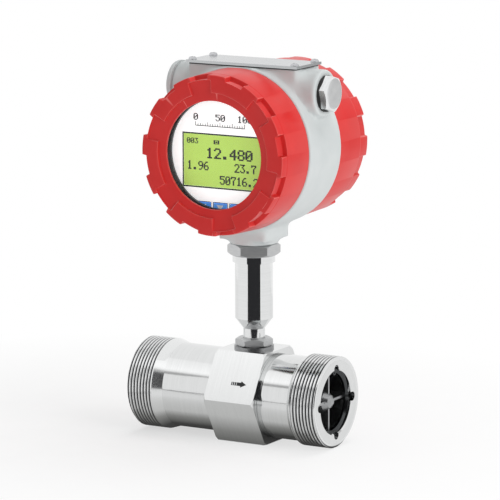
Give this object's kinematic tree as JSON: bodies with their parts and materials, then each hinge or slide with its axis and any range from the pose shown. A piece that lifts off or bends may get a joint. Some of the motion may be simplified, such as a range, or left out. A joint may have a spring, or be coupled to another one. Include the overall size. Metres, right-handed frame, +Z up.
{
  "type": "turbine flow meter",
  "caption": "Threaded pipe meter body with a turbine inside and a round display head on a stem, with screw-on covers and a cable entry each side",
  "frame": {"origin": "centre of the inlet face, on the pipe axis", "axes": "+X is the flow direction, along the pipe axis; +Z is up, along the stem; the display faces -Y"},
  "size_m": [0.14, 0.1122, 0.2493],
  "materials": {
    "stainless_steel": "polished and turned stainless steel",
    "spring_steel": "plain steel",
    "bearing_bush": "hard sintered bush",
    "soft_iron": "soft iron",
    "magnet": "sintered magnet",
    "copper_winding": "enamelled winding",
    "grey_paint": "light grey powder coat on cast aluminium",
    "red_paint": "red powder coat on cast aluminium",
    "aluminium": "turned aluminium",
    "window_glass": "clear toughened glass",
    "black_rubber": "black rubber",
    "black_plastic": "black plastic",
    "white_face": "white face sheet",
    "screen": "yellow-green reflective screen",
    "blue_key": "blue key cap",
    "circuit_board": "green circuit board"
  },
  "bodies": {
    "meter": {"meter_body": "stainless_steel", "inlet_straightener": "stainless_steel", "outlet_straightener": "stainless_steel", "inlet_snap_ring": "spring_steel", "outlet_snap_ring": "spring_steel", "inlet_bearing": "bearing_bush", "outlet_bearing": "bearing_bush", "lower_washer": "black_rubber", "lower_lock_nut": "stainless_steel", "stem": "stainless_steel", "upper_lock_nut": "stainless_steel", "pickup_coil": "copper_winding", "pickup_core": "soft_iron", "pickup_magnet": "magnet", "preamp_board": "circuit_board", "signal_lead": "black_rubber", "swivel_clip": "spring_steel"},
    "rotor": {"turbine_rotor": "stainless_steel", "rotor_shaft": "spring_steel"},
    "head": {"housing": "grey_paint", "top_plate_gasket": "black_rubber", "top_plate": "stainless_steel", "top_plate_screws": "stainless_steel", "right_plug": "stainless_steel", "right_plug_washer": "black_rubber", "left_plug": "grey_paint", "left_plug_washer": "black_rubber", "display_face": "white_face", "lcd_module": "screen", "display_board": "circuit_board", "key_switches": "black_plastic", "display_spacers": "spring_steel", "display_posts": "spring_steel", "display_screws": "spring_steel", "terminal_board": "circuit_board", "terminal_posts": "spring_steel", "terminal_board_screws": "spring_steel", "terminal_block": "black_plastic", "terminal_screws": "spring_steel"},
    "front_ring": {"front_seal": "black_rubber"},
    "front_lid": {"front_cover": "red_paint", "window_glass": "window_glass", "glass_gasket": "black_rubber", "glass_retainer": "aluminium"},
    "rear_ring": {"rear_seal": "black_rubber"},
    "rear_lid": {"rear_cover": "red_paint"},
    "key_left": {"key_left": "blue_key"},
    "key_middle": {"key_middle": "blue_key"},
    "key_right": {"key_right": "blue_key"}
  },
  "joints": [
    {"name": "rotor_spin", "type": "hinge", "parent": "meter", "child": "rotor", "pos_m": [0.079, 0, 0], "axis": [1, 0, 0], "continuous": true},
    {"name": "head_swivel", "type": "hinge", "parent": "meter", "child": "head", "pos_m": [0.079, 0, 0.0992], "axis": [0, 0, 1], "range_deg": [-180, 180]},
    {"name": "front_cover_travel", "type": "slide", "parent": "head", "child": "front_ring", "axis": [0, -1, 0], "range_m": [0, 0.012]},
    {"name": "front_cover_turn", "type": "hinge", "parent": "front_ring", "child": "front_lid", "pos_m": [0.079, 0, 0.1624], "axis": [0, -1, 0], "range_deg": [0, 2160]},
    {"name": "rear_cover_travel", "type": "slide", "parent": "head", "child": "rear_ring", "axis": [0, 1, 0], "range_m": [0, 0.012]},
    {"name": "rear_cover_turn", "type": "hinge", "parent": "rear_ring", "child": "rear_lid", "pos_m": [0.079, 0, 0.1624], "axis": [0, 1, 0], "range_deg": [0, 2160]},
    {"name": "key_left_press", "type": "slide", "parent": "head", "child": "key_left", "axis": [0, 1, 0], "range_m": [0, 0.0008], "stiffness_N_per_m": 900, "springref_m": -0.0004},
    {"name": "key_middle_press", "type": "slide", "parent": "head", "child": "key_middle", "axis": [0, 1, 0], "range_m": [0, 0.0008], "stiffness_N_per_m": 900, "springref_m": -0.0004},
    {"name": "key_right_press", "type": "slide", "parent": "head", "child": "key_right", "axis": [0, 1, 0], "range_m": [0, 0.0008], "stiffness_N_per_m": 900, "springref_m": -0.0004}
  ],
  "couplings": [
    {"joint": "front_cover_travel", "follows": "front_cover_turn", "m_per_rad": 0.00031831},
    {"joint": "rear_cover_travel", "follows": "rear_cover_turn", "m_per_rad": 0.00031831}
  ]
}
